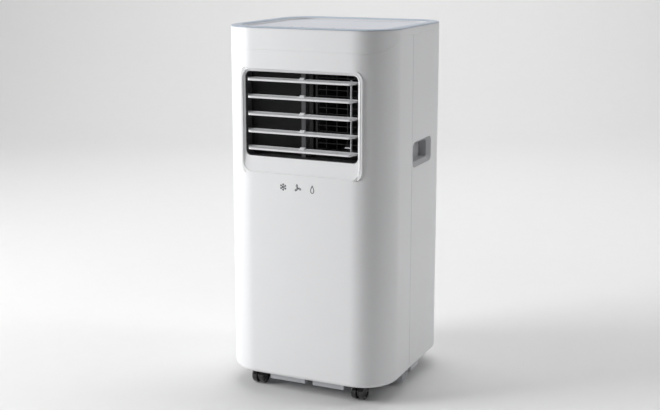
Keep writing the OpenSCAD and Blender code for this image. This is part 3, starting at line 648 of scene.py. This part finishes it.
def printed(name, quads, place, material):
    """Thin ink laid on a surface: place turns a 2-D point and a height into a 3-D point."""
    bm = bmesh.new()
    for quad in quads:
        low = [bm.verts.new(place(p, 0.0)) for p in quad]
        high = [bm.verts.new(place(p, INK_FILM)) for p in quad]
        bm.faces.new(low)
        bm.faces.new(high)
        for k in range(len(quad)):
            m = (k + 1) % len(quad)
            bm.faces.new((low[k], low[m], high[m], high[k]))
    return new_piece(name, bm, material)


def front_signs():
    """Three plain function signs on the front below the outlet: cool, fan and dry."""
    quads = []
    for x, sign in ((-33, snowflake), (-4.5, fan_sign), (24, drop_sign)):
        quads += sign(x * MM, FRONT_SIGN_Z, FRONT_SIGN_R, FRONT_SIGN_LINE)

    def place(p, height):
        return (p.x, bow_y(p.x) - height, p.y)

    printed("front_signs", quads, place, PRINT_GREY)


def panel_signs():
    """The touch keys printed on the panel, three to the left of the display and four to the right."""
    display_low, display_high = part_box("display_window")
    y = (display_low.y + display_high.y) / 2
    signs = [
        (-82, power_sign), (-58, clock_sign), (-35, fan_sign),
        (26, snowflake), (46, drop_sign)]
    quads = []
    for x, sign in signs:
        quads += sign(x * MM, y, PANEL_SIGN_R, PANEL_SIGN_LINE)
    for x, upwards in ((65, False), (84, True)):
        quads += step_sign(x * MM, y, PANEL_SIGN_R, PANEL_SIGN_LINE, upwards)
    for x in (-12, 0):
        quads += ribbon([(x * MM, y - 4 * MM), (x * MM, y + 4 * MM)], DIGIT_LINE)

    def place(p, height):
        return (p.x, p.y, PANEL_Z + height)

    printed("panel_signs", quads, place, PRINT_LIGHT)


# ---- Louvre clips ----

def louver_clips():
    """The U-shaped clip at the middle of each blade, which hooks over the centre post's pin."""
    for i in range(1, 6):
        pivot = next(j["pos_m"] for j in frame["joints"] if j["child"] == f"louver_{i}")
        y, z = pivot[1], pivot[2]
        section = []
        for k in range(13):
            a = math.radians(-90 + 270 * k / 12)
            section.append(Vector((y + CLIP_R * math.cos(a), z + CLIP_R * math.sin(a))))
        section.append(Vector((y - CLIP_REACH, z + CLIP_HALF_T)))
        section.append(Vector((y - CLIP_REACH, z - CLIP_HALF_T)))
        clip = new_piece(f"louver_{i}_clip", loft([sideways(section, CLIP_X0), sideways(section, CLIP_X1)]),
                         SLOTS["blade"], f"louver_{i}")
        soften(clip, 0.5 * MM, 35, 2)


# ---- Stage ----

def studio():
    """A pale floor that curves up into the backdrop, and soft lights round the object."""
    bm = bmesh.new()
    rows = []
    reach, back, curve_r, wall_top = 9.0, 2.6, 1.6, 8.0
    profile = [(-reach, 0.0), (back, 0.0)]
    for k in range(1, 17):
        a = math.radians(90 * k / 16)
        profile.append((back + curve_r * math.sin(a), curve_r * (1 - math.cos(a))))
    profile.append((back + curve_r, wall_top))
    turn = math.radians(24.7)
    for along, z in profile:
        row = []
        for side in (-reach, reach):
            x = side * math.cos(turn) - along * math.sin(turn)
            y = side * math.sin(turn) + along * math.cos(turn)
            row.append(bm.verts.new((x, y, z)))
        rows.append(row)
    for a, b in zip(rows, rows[1:]):
        bm.faces.new((a[0], a[1], b[1], b[0]))
    mesh = bpy.data.meshes.new("floor")
    bm.to_mesh(mesh)
    bm.free()
    mesh.polygons.foreach_set("use_smooth", [True] * len(mesh.polygons))
    paint = finish("floor_paint", (0.8, 0.8, 0.8), 0.7, grain=3 * MM, depth=0.05 * MM, tint=0.02)
    mesh.materials.append(paint)
    floor = bpy.data.objects.new("floor", mesh)
    bpy.context.scene.collection.objects.link(floor)

    world = bpy.data.worlds.new("studio")
    bpy.context.scene.world = world
    world.use_nodes = True
    world.node_tree.nodes["Background"].inputs["Color"].default_value = (1, 1, 1, 1)
    world.node_tree.nodes["Background"].inputs["Strength"].default_value = WORLD_LIGHT
    for name, azimuth, distance, height, width, tall, power, target in LIGHTS:
        light = bpy.data.lights.new(name, "AREA")
        light.shape = "RECTANGLE"
        light.size = width
        light.size_y = tall
        light.energy = power
        lamp = bpy.data.objects.new(name, light)
        a = math.radians(azimuth)
        lamp.location = (distance * math.sin(a), -distance * math.cos(a), height)
        aim = target - lamp.location
        lamp.rotation_mode = "QUATERNION"
        lamp.rotation_quaternion = aim.to_track_quat("-Z", "Y")
        bpy.context.scene.collection.objects.link(lamp)


WORLD_LIGHT = 0.12
OBJECT_AIM = Vector((0, 0, 0.35))
BACKDROP_AIM = Vector((-1.6, 3.6, 0.6))
# Each light: name, azimuth from the front towards +X, distance, height, width, tallness, watts and aim.
LIGHTS = [
    ("key_left", -56, 2.6, 1.3, 1.1, 2.2, 76, OBJECT_AIM),
    ("side_right", 110, 2.2, 1.9, 0.7, 1.4, 17, OBJECT_AIM),
    ("overhead", 180, 0.9, 3.2, 3.0, 1.6, 19, OBJECT_AIM),
    ("backdrop_wash", 180, 1.6, 3.4, 4.0, 1.0, 84, BACKDROP_AIM),
]


def camera():
    """The camera at the photograph's viewing angle, with a small shift that centres the object."""
    sensor = 36.0
    lens = 63.5182
    yaw, pitch = math.radians(24.36), math.radians(11.24)
    distance = 2.1943
    shift = 1 / 22
    aside, height, ahead = -11.84 * MM, 384.9 * MM, -3 * MM
    target = Vector((aside * math.cos(yaw), aside * math.sin(yaw) + ahead, height))
    back = Vector((math.sin(yaw) * math.cos(pitch), -math.cos(yaw) * math.cos(pitch), math.sin(pitch)))
    data = bpy.data.cameras.new("camera")
    data.sensor_width = sensor
    data.lens = lens
    data.shift_y = -shift
    view = bpy.data.objects.new("camera", data)
    view.location = target + back * distance
    view.rotation_mode = "QUATERNION"
    view.rotation_quaternion = (-back).to_track_quat("-Z", "Y")
    bpy.context.scene.collection.objects.link(view)
    bpy.context.scene.camera = view


# ---- Building the scene ----

camera()
studio()
dress_nodes()
front_shell()
rear_shell()
top_cover()
top_rim()
touch_panel()
seam_tongue()
front_signs()
panel_signs()
louver_clips()

for i in range(1, 6):
    round_node(f"louver_{i}", 0.4 * MM)
for name in ("handle_left", "handle_right"):
    round_node(name, 0.8 * MM, 20, 3)
for name in ("outlet_frame", "centre_post", "louver_link", "base_skids", "exhaust_collar"):
    round_node(name, 0.4 * MM)

bpy.context.scene.view_settings.view_transform = "Standard"
